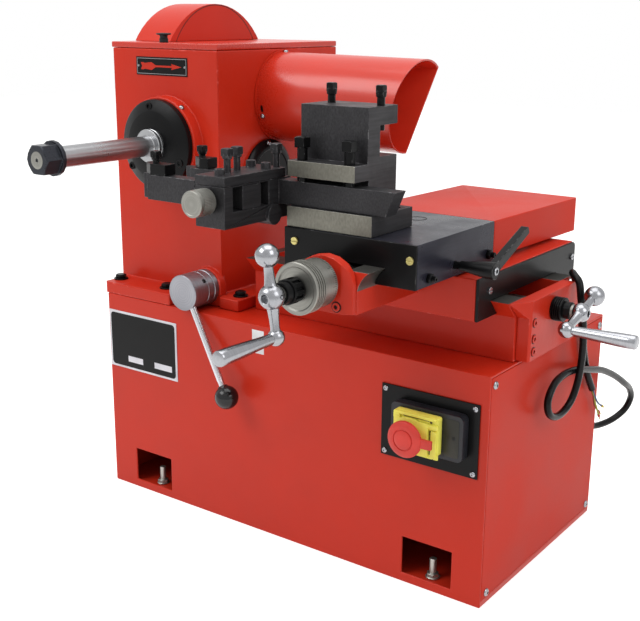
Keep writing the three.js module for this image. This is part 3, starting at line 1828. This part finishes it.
// A ball crank: hub ball, two arms, a weight ball and a ball that carries the turning grip
function makeCrank(prefix, size, hub, axis, armDirection) {
  const weight = hub.clone().addScaledVector(armDirection, size.armLength);
  const carrier = hub.clone().addScaledVector(armDirection, -size.armLength);
  const hubBack = hub.clone().addScaledVector(axis, -size.hubRadius);
  const neckFoot = hub.clone().addScaledVector(axis, -size.neckLength);
  const pinEnd = carrier.clone().addScaledVector(axis, size.gripBallRadius + grip.pinInside);
  const solid = join(
    ball(size.hubRadius, hub),
    bar(neckFoot, hub, size.neckRadius, size.neckRadius),
    bar(hub, weight, size.armRadius, size.armTip),
    bar(hub, carrier, size.armRadius, size.armTip),
    ball(size.weightRadius, weight),
    ball(size.gripBallRadius, carrier),
    bar(carrier, pinEnd, grip.pinRadius, grip.pinRadius),
  );
  const boreFoot = hubBack.clone().addScaledVector(axis, -overrun);
  const boreEnd = hubBack.clone().addScaledVector(axis, size.boreDepth + seat);
  const hole = bar(boreFoot, boreEnd, size.shaft + seat, size.shaft + seat, plainSides);
  add(`${prefix}_crank`, cut(solid, hole), chrome);

  const start = size.gripBallRadius + seat;
  const end = start + size.gripLength;
  const swell = start + size.gripLength * grip.swellShare;
  const pinGap = (grip.pinRadius + running) / Math.cos(Math.PI / smallSides);
  const inner = size.gripBallRadius + grip.pinInside + seat;
  const profile = [
    [pinGap, start],
    [grip.neckRadius, start],
    [grip.neckRadius, start + grip.neckRadius / 2],
    [grip.wideRadius, swell],
    [grip.wideRadius, end - grip.wideRadius / 4],
    [grip.endRadius, end],
    [0, end],
    [0, inner],
    [pinGap, inner],
    [pinGap, start],
  ];
  const geometry = turned(profile, smallSides);
  const up = new THREE.Vector3(0, 1, 0);
  geometry.applyQuaternion(new THREE.Quaternion().setFromUnitVectors(up, axis));
  geometry.translate(...carrier.toArray());
  add(`${prefix}_grip`, toSolid(geometry), chrome);
}

function makeCranks() {
  const sideTilt = THREE.MathUtils.degToRad(sideCrank.tilt);
  makeCrank(
    'side',
    { ...sideCrank, shaft: bedScrew.endRadius },
    new THREE.Vector3(sideHubX, bedScrew.fromFront, screwZ),
    new THREE.Vector3(1, 0, 0),
    new THREE.Vector3(0, Math.cos(sideTilt), Math.sin(sideTilt)),
  );
  const frontTilt = THREE.MathUtils.degToRad(frontCrank.tilt);
  makeCrank(
    'front',
    { ...frontCrank, shaft: crossScrew.radius },
    new THREE.Vector3(crossWay.centre, frontHubY, crossScrewZ),
    new THREE.Vector3(0, -1, 0),
    new THREE.Vector3(Math.cos(frontTilt), 0, Math.sin(frontTilt)),
  );
}

// Stop switch on its plate
function makeSwitch() {
  const x0 = switchPlate.left;
  const z0 = switchPlate.low;
  const plateY = [-seat - switchPlate.thickness, -seat];
  const plateZ = [z0, z0 + switchPlate.height];
  add('switch_plate', block([x0, x0 + switchPlate.width], plateY, plateZ), blackPaint);

  const boxX = [x0 + switchBox.left, x0 + switchBox.left + switchBox.width];
  const boxZ = [z0 + switchBox.low, z0 + switchBox.low + switchBox.height];
  const boxY = [plateY[0] - seat - switchBox.depth, plateY[0] - seat];
  add('switch_box', prismY(rectangle(boxX, boxZ, switchBox.corner), boxY), blackPlastic);

  const flapX = [boxX[0] + flap.left, boxX[0] + flap.left + flap.width];
  const flapZ = [boxZ[0] + flap.low, boxZ[0] + flap.low + flap.height];
  const flapY = [boxY[0] - seat - flap.depth, boxY[0] - seat];
  const buttonX = flapX[0] + stopButton.left;
  const buttonZ = flapZ[0] + stopButton.low;
  const c = flap.corner;
  const lidPlate = prismY(
    outline([
      [flapX[0] + c, flapZ[0]],
      [flapX[1] - c, flapZ[0]],
      [flapX[1], flapZ[0] + c],
      [flapX[1], flapZ[1]],
      [flapX[0] + c, flapZ[1]],
      [flapX[0], flapZ[1] - c],
      [flapX[0], flapZ[0] + c],
    ]),
    flapY,
  );
  const hub = turnedY(rod(flap.hubRadius, [flapY[0] - flap.hubHeight, flapY[1]]), buttonX, buttonZ);
  const stemSpan = [flapY[0] - flap.hubHeight - overrun, flapY[1] + overrun];
  const stemBore = bore(stopButton.stemRadius, running, stemSpan);
  add('switch_flap', cut(join(lidPlate, hub), turnedY(stemBore, buttonX, buttonZ)), yellowPlastic);

  const headBack = flapY[0] - flap.hubHeight - flap.rise;
  const headFront = headBack - stopButton.headLength;
  const stemEnd = headBack + stopButton.stemLength;
  const profile = [
    [0, headFront - stopButton.domeHeight],
    [stopButton.radius / 2, headFront - stopButton.domeHeight * (3 / 4)],
    [stopButton.radius - stopButton.domeHeight, headFront],
    [stopButton.radius, headFront + stopButton.domeHeight],
    [stopButton.radius, headBack - stopButton.domeHeight],
    [stopButton.radius - stopButton.domeHeight, headBack],
    [stopButton.stemRadius, headBack],
    [stopButton.stemRadius, stemEnd],
    [0, stemEnd],
  ];
  const tab = block(
    [buttonX, buttonX + stopButton.tabReach],
    [headBack - stopButton.tabThickness, headBack],
    [buttonZ - stopButton.tabHalf, buttonZ + stopButton.tabHalf],
  );
  add('stop_button', join(turnedY(profile, buttonX, buttonZ, largeSides), tab), redPlastic);
}

// Gland on the back of the cabinet, the cord and its bare ends
function tube(points, radius, sides, steps) {
  const curve = new THREE.CatmullRomCurve3(points, false, 'centripetal');
  const section = circle(0, 0, radius, sides);
  return new THREE.ExtrudeGeometry(section, { steps, extrudePath: curve, bevelEnabled: false });
}

function makeCord() {
  const [x, z] = [cabinetRight - gland.fromRight, gland.height];
  const start = cabinet.depth + seat;
  const nutEnd = start + gland.nutLength;
  const end = nutEnd + gland.domeLength;
  const dome = turnedY(
    [[0, nutEnd - seat], [gland.nutRadius, nutEnd - seat], [gland.domeRadius, end], [0, end]],
    x,
    z,
  );
  add('cord_gland', join(prismY(hexagon(x, z, 2 * gland.nutRadius), [start, nutEnd]), dome), blackPlastic);

  const route = cordPoints.map((point) => new THREE.Vector3(...point));
  route[0].set(x, end + seat, z);
  route[1].x = x;
  route[1].z = z;
  add('cord', toSolid(tube(route, cord.radius, cord.sides, cord.steps)), rubber);
  cordNames.push('cord');

  const tail = route[route.length - 1];
  const beforeTail = route[route.length - 2];
  const heading = tail.clone().sub(beforeTail).normalize();
  const first = tail.clone().addScaledVector(heading, seat);
  const bundle = [first, ...bareEndOffsets.map((offset) => first.clone().add(new THREE.Vector3(...offset)))];
  add('cord_bare_end', toSolid(tube(bundle, bareEnd.radius, bareEnd.sides, bareEnd.steps)), copperEnds);
  cordNames.push('cord_bare_end');
}

makeCabinet();
makeAnchors();
makeHeadstock();
makeLid();
makeGuard();
makeHood();
makeSideCap();
makeBearingCap();
makeSpindle();
makeSpindleNut();
makeWormDrive();
makeMotor();
makeBelt();
makeLever();
makeBed();
makeBedBracket();
makeSaddle();
makeFrontBracket();
makeTopSlide();
makeClampLever();
makeToolPost();
makeHolder();
makeArms();
makeKnob();
makeBedScrew();
makeCrossScrew();
makeCranks();
makeSwitch();
makeCord();

// The origin is the middle of the foot of the machine's box, which leaves out the loose cord
const bounds = new THREE.Box3();
machine.children
  .filter((mesh) => !cordNames.includes(mesh.name))
  .forEach((mesh) => bounds.expandByObject(mesh));
machine.position.set(
  -(bounds.min.x + bounds.max.x) / 2,
  -(bounds.min.y + bounds.max.y) / 2,
  -bounds.min.z,
);

export default machine;
